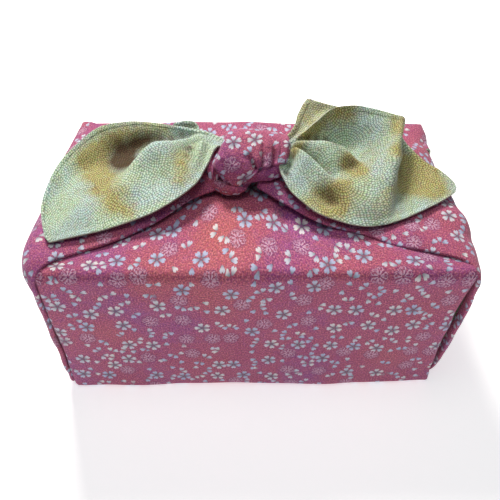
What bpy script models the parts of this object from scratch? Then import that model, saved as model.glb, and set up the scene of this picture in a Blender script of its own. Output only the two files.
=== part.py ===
"""A box wrapped in a square furoshiki cloth, tied over its top in a knot with two ears.

Units are metres and +Z is up. The front is towards -Y. The origin lies under the middle of the wrap,
on the surface that it stands on. The cloth is one folded sheet: a band round the front, bottom and
back, a side fold up each end and over the top, and the knot and ears that the last two corners make.
"""

from collections import namedtuple
import math

import bmesh
import bpy
import numpy as np

# Driving sizes of the wrap, over the outside of its cloth
LENGTH = 0.234
DEPTH = 0.1424
HEIGHT = 0.1117
CLOTH = 0.0016  # thickness of the sheet
EDGE_RADIUS = 0.005  # how softly the cloth turns over the long edges of the box
END_RADIUS = 0.003  # and round its upright corners
LAYER_GAP = 0.0006  # between the two flaps where they lap under the knot

# The box inside
BOX_LENGTH = 0.216
BOX_DEPTH = 0.1362
BOX_HEIGHT = 0.1040
BOX_EDGE = 0.006  # its rounded edges, which the cloth clears
BOX_SEAT = 0.0003  # gap to the cloth that it stands on

# The band: how far its two flaps reach over the top, and how far it folds round onto the ends
FRONT_FLAP_MIDDLE = 0.030
FRONT_FLAP_END = -0.038
BACK_FLAP_MIDDLE = 0.004
BACK_FLAP_END = 0.038
FULL_REACH = 0.12  # the share of the length, from the middle, where the flaps reach furthest
LAP_RISE = 0.012  # the length over which the back flap climbs onto the front one
END_RETURN = 0.024
LEAST_RADIUS = 0.0012  # of the long edges where the band turns onto the ends
PANEL_PULL = 0.0040  # how far the front panel's right fold is drawn in at half height
PULL_DEPTH = (0.040, 0.065)  # how far to the front that starts and is whole
PULL_LENGTH = (0.070, 0.112)  # and how far to the right
BAND_STATIONS = 11
LEG_POINTS = {"top": 6, "front": 5, "bottom": 3, "back": 4}
ARC_POINTS = 4

# How squarely a side fold bulges between its two edges
FOLD_SQUARENESS = 7.0
SIDE_ROWS = 24
SIDE_COLUMNS = 10

EAR_GRID = (28, 16)  # rows along an ear and columns across it
PEAK_GRID = (9, 6)
EAR_CONTROLS = (0.0, 0.27, 0.52, 0.76, 0.91, 1.0)  # where across an ear its drops are measured

KNOT_CENTRE = (-0.004, 0.0095, 0.1225)

# A side fold, from the bottom edge up the end and over the top to the knot. reach is the distance
# out from the middle of the wrap, front and back are the y of its two edges, and the crowns are how
# far it bulges behind its front edge and before its back one.
SideSection = namedtuple("SideSection", "reach height front back front_crown back_crown")

LEFT_SIDE = (
    SideSection(0.1146, 0.0024, -0.0655, 0.0655, 0.0000, 0.0000),
    SideSection(0.1192, 0.0068, -0.0705, 0.0690, 0.0020, 0.0006),
    SideSection(0.1194, 0.0200, -0.0714, 0.0705, 0.0064, 0.0030),
    SideSection(0.1194, 0.0450, -0.0716, 0.0708, 0.0078, 0.0040),
    SideSection(0.1194, 0.0700, -0.0718, 0.0706, 0.0080, 0.0034),
    SideSection(0.1194, 0.0930, -0.0720, 0.0704, 0.0092, 0.0016),
    SideSection(0.1182, 0.1090, -0.0722, 0.0694, 0.0094, 0.0006),
    SideSection(0.1110, 0.1142, -0.0640, 0.0660, 0.0030, 0.0006),
    SideSection(0.0950, 0.1148, -0.0560, 0.0570, 0.0024, 0.0010),
    SideSection(0.0780, 0.1150, -0.0480, 0.0480, 0.0018, 0.0014),
    SideSection(0.0570, 0.1156, -0.0340, 0.0380, 0.0018, 0.0018),
    SideSection(0.0380, 0.1166, -0.0160, 0.0280, 0.0024, 0.0024),
    SideSection(0.0220, 0.1180, -0.0080, 0.0210, 0.0030, 0.0030),
    SideSection(0.0100, 0.1195, -0.0030, 0.0160, 0.0020, 0.0020),
)

RIGHT_SIDE = (
    SideSection(0.1146, 0.0024, -0.0625, 0.0655, 0.0000, 0.0000),
    SideSection(0.1192, 0.0070, -0.0640, 0.0690, 0.0004, 0.0004),
    SideSection(0.1195, 0.0220, -0.0670, 0.0702, 0.0010, 0.0020),
    SideSection(0.1196, 0.0450, -0.0700, 0.0704, 0.0020, 0.0030),
    SideSection(0.1196, 0.0700, -0.0708, 0.0704, 0.0028, 0.0026),
    SideSection(0.1196, 0.0930, -0.0710, 0.0702, 0.0030, 0.0010),
    SideSection(0.1184, 0.1080, -0.0712, 0.0690, 0.0034, 0.0002),
    SideSection(0.1120, 0.1138, -0.0630, 0.0640, 0.0014, 0.0004),
    SideSection(0.0950, 0.1146, -0.0565, 0.0570, 0.0020, 0.0010),
    SideSection(0.0770, 0.1148, -0.0520, 0.0490, 0.0018, 0.0014),
    SideSection(0.0560, 0.1154, -0.0425, 0.0390, 0.0018, 0.0018),
    SideSection(0.0370, 0.1162, -0.0360, 0.0300, 0.0022, 0.0022),
    SideSection(0.0180, 0.1172, -0.0215, 0.0220, 0.0030, 0.0030),
    SideSection(0.0010, 0.1185, -0.0070, 0.0170, 0.0020, 0.0020),
)

# An ear, from its throat in the knot to its tip. near and far are its two hems, and the drops are
# how far it sags below the straight line between them, the last just inside its far hem.
EarSection = namedtuple("EarSection", "near far near_drop middle_drop far_drop band_drop")

LEFT_EAR = (
    EarSection((-0.0120, 0.0060, 0.1255), (-0.0120, 0.0180, 0.1275), 0.000, 0.000, 0.000, 0.000),
    EarSection((-0.0200, 0.0110, 0.1320), (-0.0266, 0.0238, 0.1330), 0.000, 0.000, 0.000, 0.000),
    EarSection((-0.0234, 0.0082, 0.1330), (-0.0439, 0.0290, 0.1340), 0.003, 0.002, 0.002, 0.000),
    EarSection((-0.0290, -0.0045, 0.1290), (-0.0587, 0.0354, 0.1325), 0.004, 0.002, 0.004, 0.001),
    EarSection((-0.0360, -0.0170, 0.1260), (-0.0788, 0.0382, 0.1320), 0.002, 0.003, 0.009, 0.002),
    EarSection((-0.0574, -0.0334, 0.1215), (-0.0960, 0.0332, 0.1310), 0.001, 0.004, 0.009, 0.003),
    EarSection((-0.0789, -0.0428, 0.1190), (-0.1069, 0.0192, 0.1295), 0.000, 0.003, 0.006, 0.002),
    EarSection((-0.0920, -0.0474, 0.1185), (-0.1163, -0.0011, 0.1265), 0.000, 0.002, 0.003, 0.001),
    EarSection((-0.1010, -0.0502, 0.1183), (-0.1193, -0.0253, 0.1225), 0.000, 0.001, 0.001, 0.000),
    EarSection((-0.1065, -0.0520, 0.1182), (-0.1168, -0.0395, 0.1200), 0.000, 0.000, 0.000, 0.000),
    EarSection((-0.1105, -0.0530, 0.1182), (-0.1130, -0.0500, 0.1184), 0.000, 0.000, 0.000, 0.000),
)

RIGHT_EAR = (
    EarSection((0.0020, 0.0050, 0.1240), (0.0020, 0.0140, 0.1250), 0.000, 0.000, 0.000, 0.000),
    EarSection((0.0145, 0.0040, 0.1315), (0.0228, 0.0145, 0.1365), 0.001, 0.001, 0.001, 0.000),
    EarSection((0.0132, -0.0048, 0.1300), (0.0341, 0.0214, 0.1430), 0.002, 0.003, 0.005, 0.002),
    EarSection((0.0178, -0.0179, 0.1260), (0.0460, 0.0332, 0.1450), 0.001, 0.004, 0.009, 0.004),
    EarSection((0.0253, -0.0264, 0.1230), (0.0600, 0.0372, 0.1450), 0.001, 0.006, 0.014, 0.005),
    EarSection((0.0363, -0.0357, 0.1210), (0.0727, 0.0350, 0.1440), 0.000, 0.007, 0.012, 0.004),
    EarSection((0.0562, -0.0420, 0.1190), (0.0842, 0.0301, 0.1430), 0.000, 0.000, 0.003, 0.001),
    EarSection((0.0700, -0.0399, 0.1180), (0.0906, 0.0288, 0.1410), -0.003, -0.005, -0.004, -0.002),
    EarSection((0.0770, -0.0375, 0.1180), (0.0915, 0.0286, 0.1280), 0.000, 0.001, 0.002, 0.001),
    EarSection((0.0850, -0.0338, 0.1182), (0.1030, 0.0145, 0.1210), 0.000, 0.001, 0.001, 0.000),
    EarSection((0.0990, -0.0262, 0.1185), (0.1125, 0.0040, 0.1200), 0.000, 0.000, 0.000, 0.000),
    EarSection((0.1120, -0.0175, 0.1188), (0.1175, -0.0050, 0.1192), 0.000, 0.000, 0.000, 0.000),
    EarSection((0.1172, -0.0130, 0.1190), (0.1182, -0.0100, 0.1190), 0.000, 0.000, 0.000, 0.000),
)

# The pointed fold that stands behind the right ear's far hem
RIGHT_PEAK = (
    EarSection((0.0090, 0.0100, 0.1235), (0.0080, 0.0150, 0.1230), 0.000, 0.000, 0.000, 0.000),
    EarSection((0.0263, 0.0212, 0.1335), (0.0224, 0.0267, 0.1340), 0.000, 0.001, 0.001, 0.000),
    EarSection((0.0354, 0.0314, 0.1360), (0.0265, 0.0377, 0.1370), 0.001, 0.002, 0.001, 0.000),
    EarSection((0.0442, 0.0421, 0.1375), (0.0306, 0.0472, 0.1390), 0.001, 0.002, 0.001, 0.000),
    EarSection((0.0507, 0.0462, 0.1390), (0.0338, 0.0522, 0.1400), 0.000, 0.000, 0.000, 0.000),
)

# A soft crease: a ridge along a line where height is over zero, a trough where it is under
Crease = namedtuple("Crease", "start end width height")

BAND_CREASES = (
    Crease((-0.024, -0.024, HEIGHT), (-0.006, -0.060, HEIGHT), 0.015, 0.0022),
    Crease((0.018, -0.028, HEIGHT), (0.046, -0.056, HEIGHT), 0.010, -0.0020),
    Crease((0.050, -0.040, HEIGHT), (0.084, -0.062, HEIGHT), 0.010, 0.0014),
    Crease((-0.060, -DEPTH / 2, 0.085), (0.060, -DEPTH / 2, 0.085), 0.030, 0.0009),
    Crease((-0.090, -DEPTH / 2, 0.030), (0.080, -DEPTH / 2, 0.040), 0.024, 0.0007),
    Crease((-0.070, DEPTH / 2, 0.070), (0.070, DEPTH / 2, 0.060), 0.032, 0.0010),
)

LEFT_CREASES = (
    Crease((-0.112, 0.030, 0.117), (-0.030, 0.016, 0.119), 0.007, 0.0014),
    Crease((-0.125, -0.030, 0.020), (-0.126, -0.046, 0.100), 0.010, 0.0012),
    Crease((-0.125, 0.010, 0.015), (-0.126, 0.030, 0.095), 0.009, -0.0014),
    Crease((-0.110, -0.030, 0.117), (-0.050, -0.012, 0.118), 0.007, -0.0010),
)

RIGHT_CREASES = (
    Crease((0.112, 0.034, 0.117), (0.030, 0.014, 0.119), 0.007, 0.0014),
    Crease((0.118, -0.028, 0.114), (0.121, -0.046, 0.060), 0.008, 0.0016),
    Crease((0.117, -0.044, 0.113), (0.060, -0.026, 0.117), 0.006, -0.0012),
    Crease((0.121, 0.012, 0.020), (0.121, 0.030, 0.095), 0.009, -0.0012),
    Crease((0.118, 0.040, 0.111), (0.118, 0.014, 0.112), 0.010, -0.0028),
)

LEFT_EAR_CREASES = (
    Crease((-0.0400, 0.0060, 0.131), (-0.0360, -0.0060, 0.127), 0.0045, -0.0020),
)

RIGHT_EAR_CREASES = (
    Crease((0.0405, -0.0200, 0.124), (0.0440, -0.0240, 0.122), 0.0065, -0.0045),
    Crease((0.0600, 0.0090, 0.129), (0.0610, 0.0060, 0.129), 0.0060, -0.0025),
)

# A high fold or deep slot of an ear, as a path seen from above. The sheet is brought to z along it,
# and falls back over the two widths, to the right and left hand of the path.
FoldPoint = namedtuple("FoldPoint", "x y z right_width left_width")

LEFT_EAR_FOLDS = (
    (  # the slot under the far hem, which opens into the hollow
        FoldPoint(-0.0422, 0.0201, 0.1295, 0.0050, 0.0040),
        FoldPoint(-0.0516, 0.0211, 0.1240, 0.0055, 0.0050),
        FoldPoint(-0.0637, 0.0190, 0.1215, 0.0060, 0.0060),
        FoldPoint(-0.0773, 0.0063, 0.1195, 0.0090, 0.0080),
    ),
    (  # the crown, whose steep back is the lip of the slot
        FoldPoint(-0.0323, 0.0199, 0.1327, 0.0040, 0.0060),
        FoldPoint(-0.0386, 0.0168, 0.1333, 0.0055, 0.0112),
        FoldPoint(-0.0469, 0.0124, 0.1335, 0.0065, 0.0154),
        FoldPoint(-0.0571, 0.0108, 0.1332, 0.0070, 0.0182),
        FoldPoint(-0.0661, 0.0058, 0.1305, 0.0075, 0.0156),
        FoldPoint(-0.0724, -0.0132, 0.1253, 0.0080, 0.0108),
    ),
)

RIGHT_EAR_FOLDS = (
    (  # the slot behind the tongues
        FoldPoint(0.0283, 0.0151, 0.1330, 0.0045, 0.0040),
        FoldPoint(0.0375, 0.0162, 0.1295, 0.0055, 0.0055),
        FoldPoint(0.0487, 0.0169, 0.1260, 0.0060, 0.0060),
        FoldPoint(0.0605, 0.0079, 0.1235, 0.0070, 0.0065),
    ),
    (  # the first tongue
        FoldPoint(0.0254, 0.0097, 0.1356, 0.0045, 0.0040),
        FoldPoint(0.0327, 0.0086, 0.1362, 0.0085, 0.0055),
        FoldPoint(0.0431, 0.0095, 0.1350, 0.0111, 0.0060),
        FoldPoint(0.0521, 0.0072, 0.1325, 0.0111, 0.0065),
        FoldPoint(0.0617, -0.0015, 0.1270, 0.0077, 0.0065),
    ),
    (  # the slot between the two
        FoldPoint(0.0292, 0.0013, 0.1335, 0.0030, 0.0030),
        FoldPoint(0.0354, -0.0021, 0.1307, 0.0040, 0.0040),
        FoldPoint(0.0434, -0.0092, 0.1277, 0.0045, 0.0045),
    ),
    (  # the second tongue, nearer the front
        FoldPoint(0.0279, -0.0019, 0.1338, 0.0060, 0.0042),
        FoldPoint(0.0351, -0.0079, 0.1315, 0.0070, 0.0048),
        FoldPoint(0.0444, -0.0157, 0.1291, 0.0065, 0.0050),
    ),
)

# A turn of the knot: a strap of gathered cloth that runs in an arc over the knot, from its back to
# its front. shift is along x from the knot's centre and lean draws the front end to the left, the
# widths are at the back, the top, the face and the foot, and the reaches are the half axes of the arc.
KnotTurn = namedtuple(
    "KnotTurn",
    "shift lean back_width top_width face_width foot_width thick reach_y reach_z first last",
)
TURN_PLACES = (0.0, 0.5, 0.78, 1.0)  # where along a strap its four widths are

KNOT_TURNS = (
    KnotTurn(-0.0019, 0.0063, 0.022, 0.026, 0.028, 0.0100, 0.0080, 0.0170, 0.0160, -25.0, 196.0),
    KnotTurn(0.0135, 0.0040, 0.010, 0.014, 0.013, 0.0070, 0.0075, 0.0160, 0.0148, -15.0, 190.0),
    KnotTurn(0.0205, 0.0030, 0.007, 0.009, 0.008, 0.0050, 0.0070, 0.0140, 0.0125, 0.0, 186.0),
    KnotTurn(-0.0172, 0.0030, 0.009, 0.010, 0.010, 0.0080, 0.0070, 0.0142, 0.0106, -12.0, 191.0),
)
TURN_STATIONS = 13
TURN_RING = 12
TURN_SQUARENESS = 0.7
GATHERS = 3  # ridges across a strap
GATHER_HEIGHT = 0.0005

KNOT_CORE = (0.0190, 0.0150, 0.0115)

# The loop that shows below the knot's front strap
LOOP_POINTS = (
    (-0.0300, 0.0080, 0.1200),
    (-0.0296, 0.0010, 0.1188),
    (-0.0253, -0.0036, 0.1185),
    (-0.0199, -0.0077, 0.1185),
    (-0.0140, -0.0100, 0.1185),
    (-0.0093, -0.0077, 0.1185),
    (-0.0051, -0.0017, 0.1190),
)
LOOP_RADIUS = 0.0042
LOOP_STATIONS = 13
LOOP_RING = 10

PINK = (0.62, 0.16, 0.24)
CARD = (0.62, 0.55, 0.45)


def smooth_rows(rows, count):
    """The rows of a table read at `count` even steps of a smooth curve through them."""
    rows = np.array(rows, float)
    padded = np.vstack([2 * rows[0] - rows[1], rows, 2 * rows[-1] - rows[-2]])
    place = np.linspace(0, len(rows) - 1, count)
    row = np.minimum(place.astype(int), len(rows) - 2)
    along = (place - row)[:, None]
    before, start, end, after = (padded[row + step] for step in range(4))
    straight = end - before
    bend = 2 * before - 5 * start + 4 * end - after
    twist = 3 * start - before - 3 * end + after
    return 0.5 * (2 * start + straight * along + bend * along**2 + twist * along**3)


def rise(value, first, last):
    """0 at first, 1 at last, and even between them."""
    return min(max((value - first) / (last - first), 0.0), 1.0)


def grid_normals(grid):
    """The unit normal at each point of a grid of points."""
    along = np.gradient(grid, axis=0)
    across = np.gradient(grid, axis=1)
    normal = np.cross(along, across)
    return normal / np.maximum(np.linalg.norm(normal, axis=2, keepdims=True), 1e-12)


def with_creases(grid, creases):
    """The grid with each crease raised or sunk along its line, fading to both sides and past its ends."""
    normals = grid_normals(grid)
    raised = grid.copy()
    for crease in creases:
        start = np.array(crease.start)
        line = np.array(crease.end) - start
        place = np.clip((grid - start) @ line / (line @ line), 0, 1)
        distance = np.linalg.norm(grid - start - place[..., None] * line, axis=2)
        height = crease.height * np.exp(-((distance / crease.width) ** 2))
        raised += normals * height[..., None]
    return raised


def with_folds(grid, folds):
    """The grid brought to the height of each fold along its path, as seen from above."""
    plan = grid[..., :2].reshape(-1, 2)
    for fold in folds:
        path = np.array(fold)
        below = [grid[..., 2].ravel()[((plan - p[:2]) ** 2).sum(axis=1).argmin()] for p in path]
        nearest = np.full(grid.shape[:2], np.inf)
        lift = np.zeros(grid.shape[:2])
        for start, end, low, following in zip(path, path[1:], below, below[1:]):
            line = end[:2] - start[:2]
            away = grid[..., :2] - start[:2]
            place = np.clip(away @ line / (line @ line), 0, 1)
            off = away - place[..., None] * line
            distance = np.linalg.norm(off, axis=2)
            on_left = line[0] * off[..., 1] > line[1] * off[..., 0]
            z, right_width, left_width = (start[k] + place * (end[k] - start[k]) for k in (2, 3, 4))
            width = np.where(on_left, left_width, right_width)
            height = (z - low - place * (following - low)) * np.exp(-((distance / width) ** 2))
            lift = np.where(distance < nearest, height, lift)
            nearest = np.minimum(distance, nearest)
        grid = np.dstack([grid[..., :2], grid[..., 2] + lift])
    return grid


def new_object(name, mesh, collection):
    obj = bpy.data.objects.new(name, mesh)
    collection.objects.link(obj)
    return obj


def sheet_from_grid(name, grid, collection, offset):
    """An open sheet through a grid of points, given the thickness of the cloth by a Solidify modifier."""
    rows, columns = grid.shape[:2]
    bm = bmesh.new()
    points = [[bm.verts.new(point) for point in row] for row in grid]
    for i in range(rows - 1):
        for j in range(columns - 1):
            bm.faces.new((points[i][j], points[i + 1][j], points[i + 1][j + 1], points[i][j + 1]))
    mesh = bpy.data.meshes.new(name)
    bm.to_mesh(mesh)
    bm.free()
    mesh.shade_smooth()
    obj = new_object(name, mesh, collection)
    solidify = obj.modifiers.new("thickness", "SOLIDIFY")
    solidify.thickness = CLOTH
    solidify.offset = offset
    return obj


def lofted_solid(name, rings, collection):
    """A closed solid through rings of points, with a cap on its first and last ring."""
    bm = bmesh.new()
    loops = [[bm.verts.new(point) for point in ring] for ring in rings]
    count = len(loops[0])
    for ring, following in zip(loops, loops[1:]):
        for i in range(count):
            after = (i + 1) % count
            bm.faces.new((ring[i], ring[after], following[after], following[i]))
    bm.faces.new(loops[0])
    bm.faces.new(loops[-1])
    bmesh.ops.recalc_face_normals(bm, faces=bm.faces)
    mesh = bpy.data.meshes.new(name)
    bm.to_mesh(mesh)
    bm.free()
    mesh.shade_smooth()
    return new_object(name, mesh, collection)


def band_section(inset, front_flap, back_flap):
    """The (y, z) points of one section of the band, from the front flap's end round to the back flap's.

    inset draws the section in from the faces of the wrap, as where the band turns onto the ends.
    """
    half = DEPTH / 2 - inset
    low = inset
    top = HEIGHT - inset
    radius = max(EDGE_RADIUS - inset, LEAST_RADIUS)
    flat = half - radius
    lap = CLOTH + LAYER_GAP
    corners = (
        (-flat, top - radius, 90.0, "front"),
        (-flat, low + radius, 180.0, "bottom"),
        (flat, low + radius, 270.0, "back"),
        (flat, top - radius, 360.0, "top"),
    )
    path = [(y, top) for y in np.linspace(front_flap, -flat, LEG_POINTS["top"])[:-1]]
    for number, (y, z, angle, leg) in enumerate(corners):
        for turn in np.radians(np.linspace(angle, angle + 90.0, ARC_POINTS)):
            path.append((y + radius * math.cos(turn), z + radius * math.sin(turn)))
        if number < 3:
            following = corners[number + 1]
            start = path[-1]
            facing = math.radians(following[2])
            end = (
                following[0] + radius * math.cos(facing),
                following[1] + radius * math.sin(facing),
            )
            for share in np.linspace(0, 1, LEG_POINTS[leg])[1:-1]:
                path.append(
                    (start[0] + share * (end[0] - start[0]), start[1] + share * (end[1] - start[1]))
                )
    for y in np.linspace(flat, back_flap, LEG_POINTS["top"] + 1)[1:]:
        lift = rise(y, FRONT_FLAP_MIDDLE + LAP_RISE, FRONT_FLAP_MIDDLE)
        path.append((y, top + lap * lift))
    return path


def band_stations():
    """(x, inset) of each section of the band, from its left return to its right one."""
    flat = LENGTH / 2 - END_RADIUS
    right = [(LENGTH / 2, END_RETURN), (LENGTH / 2, (END_RETURN + END_RADIUS) / 2)]
    for turn in np.radians(np.linspace(90.0, 0.0, ARC_POINTS)):
        inset = END_RADIUS * (1 - math.cos(turn))
        right.append((flat + END_RADIUS * math.sin(turn), inset))
    left = [(-x, inset) for x, inset in right]
    middle = [(x, 0.0) for x in np.linspace(-flat, flat, BAND_STATIONS)[1:-1]]
    return left + middle + right[::-1]


def build_band(collection):
    sections = []
    for x, inset in band_stations():
        toward_end = min(abs(x) / (LENGTH / 2 - END_RADIUS), 1.0)
        share = rise(toward_end, FULL_REACH, 1.0)
        front_flap = FRONT_FLAP_MIDDLE + share * (FRONT_FLAP_END - FRONT_FLAP_MIDDLE)
        back_flap = BACK_FLAP_MIDDLE + share * (BACK_FLAP_END - BACK_FLAP_MIDDLE)
        section = []
        for y, z in band_section(inset, front_flap, back_flap):
            pull = PANEL_PULL * rise(-y, *PULL_DEPTH) * rise(x, *PULL_LENGTH)
            pull *= math.sin(math.pi * z / HEIGHT)
            section.append((x - pull, y, z))
        sections.append(section)
    grid = with_creases(np.array(sections)[::-1], BAND_CREASES)
    grid[..., 2] = np.maximum(grid[..., 2], 0.0)
    return sheet_from_grid("band", grid, collection, -1.0)


def build_side(name, sections, creases, hand, collection):
    """One side fold: hand is -1 on the left end and 1 on the right."""
    rows = smooth_rows(sections, SIDE_ROWS)
    steps = np.gradient(rows[:, :2], axis=0)
    steps /= np.linalg.norm(steps, axis=1, keepdims=True)
    outward = np.column_stack([steps[:, 1], -steps[:, 0]])
    across = 0.5 - 0.5 * np.cos(np.pi * np.linspace(0, 1, SIDE_COLUMNS))
    arch = 1 - np.abs(2 * across - 1) ** FOLD_SQUARENESS
    bulge = (rows[:, 4:5] + (rows[:, 5:6] - rows[:, 4:5]) * across) * arch
    x = hand * (rows[:, 0:1] + outward[:, 0:1] * bulge)
    y = rows[:, 2:3] + (rows[:, 3:4] - rows[:, 2:3]) * across
    z = rows[:, 1:2] + outward[:, 1:2] * bulge
    grid = np.stack([x, y, z], axis=2)
    if hand > 0:
        grid = grid[:, ::-1]
    return sheet_from_grid(name, with_creases(grid, creases), collection, -1.0)


def build_ear(name, sections, size, folds, creases, collection):
    rows = [(*s.near, *s.far, *s[2:]) for s in sections]
    grid = []
    for row in smooth_rows(rows, size[0]):
        near, far = row[:3], row[3:6]
        drops = (0.0, *row[6:], 0.0)
        controls = [near + share * (far - near) for share in EAR_CONTROLS]
        controls = [point - np.array((0, 0, drop)) for point, drop in zip(controls, drops)]
        grid.append(smooth_rows(controls, size[1]))
    grid = with_folds(np.array(grid), folds)
    if grid_normals(grid)[size[0] // 2, size[1] // 2, 2] < 0:
        grid = grid[:, ::-1]
    return sheet_from_grid(name, with_creases(grid, creases), collection, 0.0)


def build_turn(name, turn, collection):
    """One strap of the knot, thick and rounded, with its gathers as ridges along it."""
    rings = []
    for share in np.linspace(0, 1, TURN_STATIONS):
        angle = math.radians(turn.first + share * (turn.last - turn.first))
        centre = np.array(KNOT_CENTRE) + (
            turn.shift + turn.lean * math.cos(angle),
            turn.reach_y * math.cos(angle),
            turn.reach_z * math.sin(angle),
        )
        outward = np.array((0.0, turn.reach_z * math.cos(angle), turn.reach_y * math.sin(angle)))
        outward /= np.linalg.norm(outward)
        widths = (turn.back_width, turn.top_width, turn.face_width, turn.foot_width)
        width = float(np.interp(share, TURN_PLACES, widths))
        ring = []
        for around in np.linspace(0, 2 * math.pi, TURN_RING, endpoint=False):
            side = math.copysign(abs(math.cos(around)) ** TURN_SQUARENESS, math.cos(around))
            rise = math.copysign(abs(math.sin(around)) ** TURN_SQUARENESS, math.sin(around))
            ridge = GATHER_HEIGHT * math.cos(GATHERS * math.pi * side) * max(rise, 0)
            ring.append(
                centre
                + np.array((side * width / 2, 0, 0))
                + outward * (rise * turn.thick / 2 + ridge)
            )
        rings.append(ring)
    return lofted_solid(name, rings, collection)


def build_core(collection):
    bm = bmesh.new()
    bmesh.ops.create_uvsphere(bm, u_segments=16, v_segments=10, radius=1.0)
    bmesh.ops.scale(bm, vec=KNOT_CORE, verts=bm.verts)
    bmesh.ops.translate(bm, vec=KNOT_CENTRE, verts=bm.verts)
    mesh = bpy.data.meshes.new("knot_core")
    bm.to_mesh(mesh)
    bm.free()
    return new_object("knot_core", mesh, collection)


def build_loop(collection):
    """The small loop below the knot: a round bundle that follows its points."""
    centres = smooth_rows(LOOP_POINTS, LOOP_STATIONS)
    steps = np.gradient(centres, axis=0)
    rings = []
    for centre, step in zip(centres, steps):
        sideways = np.cross(step, (0, 0, 1))
        sideways /= np.linalg.norm(sideways)
        upwards = np.cross(sideways, step)
        upwards /= np.linalg.norm(upwards)
        ring = []
        for around in np.linspace(0, 2 * math.pi, LOOP_RING, endpoint=False):
            out = sideways * math.cos(around) + upwards * math.sin(around)
            ring.append(centre + LOOP_RADIUS * out)
        rings.append(ring)
    return lofted_solid("knot_loop", rings, collection)


def build_box(collection):
    bm = bmesh.new()
    bmesh.ops.create_cube(bm, size=1.0)
    bmesh.ops.scale(bm, vec=(BOX_LENGTH, BOX_DEPTH, BOX_HEIGHT), verts=bm.verts)
    bmesh.ops.translate(bm, vec=(0, 0, CLOTH + BOX_SEAT + BOX_HEIGHT / 2), verts=bm.verts)
    mesh = bpy.data.meshes.new("box")
    bm.to_mesh(mesh)
    bm.free()
    obj = new_object("box", mesh, collection)
    bevel = obj.modifiers.new("rounded edges", "BEVEL")
    bevel.width = BOX_EDGE
    bevel.segments = 3
    return obj


def material(name, colour, roughness):
    made = bpy.data.materials.new(name)
    made.use_nodes = True
    shader = made.node_tree.nodes["Principled BSDF"]
    shader.inputs["Base Color"].default_value = (*colour, 1.0)
    shader.inputs["Roughness"].default_value = roughness
    shader.inputs["Metallic"].default_value = 0.0
    return made


def join_to(obj, others):
    for other in others:
        union = obj.modifiers.new(f"join {other.name}", "BOOLEAN")
        union.operation = "UNION"
        union.solver = "EXACT"
        union.object = other
        other.hide_render = True
        other.display_type = "WIRE"


def main():
    for obj in list(bpy.data.objects):
        bpy.data.objects.remove(obj)
    part = bpy.data.collections.new("wrapped_box")
    folds = bpy.data.collections.new("cloth_folds")
    bpy.context.scene.collection.children.link(part)
    bpy.context.scene.collection.children.link(folds)

    cloth = build_band(part)
    cloth.name = "cloth"
    pieces = [
        build_side("left_side", LEFT_SIDE, LEFT_CREASES, -1, folds),
        build_side("right_side", RIGHT_SIDE, RIGHT_CREASES, 1, folds),
        build_core(folds),
    ]
    for number, turn in enumerate(KNOT_TURNS):
        pieces.append(build_turn(f"knot_turn_{number}", turn, folds))
    pieces.append(build_loop(folds))
    pieces += [
        build_ear("left_ear", LEFT_EAR, EAR_GRID, LEFT_EAR_FOLDS, LEFT_EAR_CREASES, folds),
        build_ear("right_ear", RIGHT_EAR, EAR_GRID, RIGHT_EAR_FOLDS, RIGHT_EAR_CREASES, folds),
        build_ear("right_peak", RIGHT_PEAK, PEAK_GRID, (), (), folds),
    ]
    join_to(cloth, pieces)
    cloth.data.materials.append(material("printed cotton", PINK, 0.85))

    box = build_box(part)
    box.data.materials.append(material("plain card", CARD, 0.9))


main()
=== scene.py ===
# A box wrapped in a two-sided furoshiki cloth, tied over its top in a knot with two spread ears.
# Metres, +Z up, the front towards -Y. Each sheet of cloth starts as a grid and is moved onto its folds.
import math
import bpy
import numpy as np
from mathutils import Matrix, Vector


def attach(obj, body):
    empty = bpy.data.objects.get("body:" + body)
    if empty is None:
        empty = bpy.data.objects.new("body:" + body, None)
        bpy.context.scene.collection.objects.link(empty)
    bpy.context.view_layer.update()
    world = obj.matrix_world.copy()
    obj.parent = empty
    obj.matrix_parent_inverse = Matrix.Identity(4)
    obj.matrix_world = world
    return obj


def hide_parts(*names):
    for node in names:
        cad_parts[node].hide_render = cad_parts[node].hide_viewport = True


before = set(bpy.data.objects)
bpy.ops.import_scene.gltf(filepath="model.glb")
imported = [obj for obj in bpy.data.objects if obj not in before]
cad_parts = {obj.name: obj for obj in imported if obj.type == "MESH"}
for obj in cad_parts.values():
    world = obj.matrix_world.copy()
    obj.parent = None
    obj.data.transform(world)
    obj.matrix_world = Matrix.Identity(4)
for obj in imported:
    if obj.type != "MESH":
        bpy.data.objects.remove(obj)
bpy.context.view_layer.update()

circle = 2 * math.pi

print("frame loaded:", sorted(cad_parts))


# smooth curves and folds

def readRows(rows, places):
    # a smooth curve through the rows of a table, read at places from 0 to 1
    rows = np.array(rows, float)
    padded = np.vstack([2 * rows[0] - rows[1], rows, 2 * rows[-1] - rows[-2]])
    place = np.asarray(places) * (len(rows) - 1)
    row = np.minimum(place.astype(int), len(rows) - 2)
    along = (place - row)[:, None]
    before, start, end, after = (padded[row + step] for step in range(4))
    bend = 2 * before - 5 * start + 4 * end - after
    twist = 3 * start - before - 3 * end + after
    return 0.5 * (2 * start + (end - before) * along + bend * along**2 + twist * along**3)


def unit(vectors):
    return vectors / np.maximum(np.linalg.norm(vectors, axis=-1, keepdims=True), 1e-9)


def gridNormals(grid):
    return unit(np.cross(np.gradient(grid, axis=0), np.gradient(grid, axis=1)))


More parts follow.
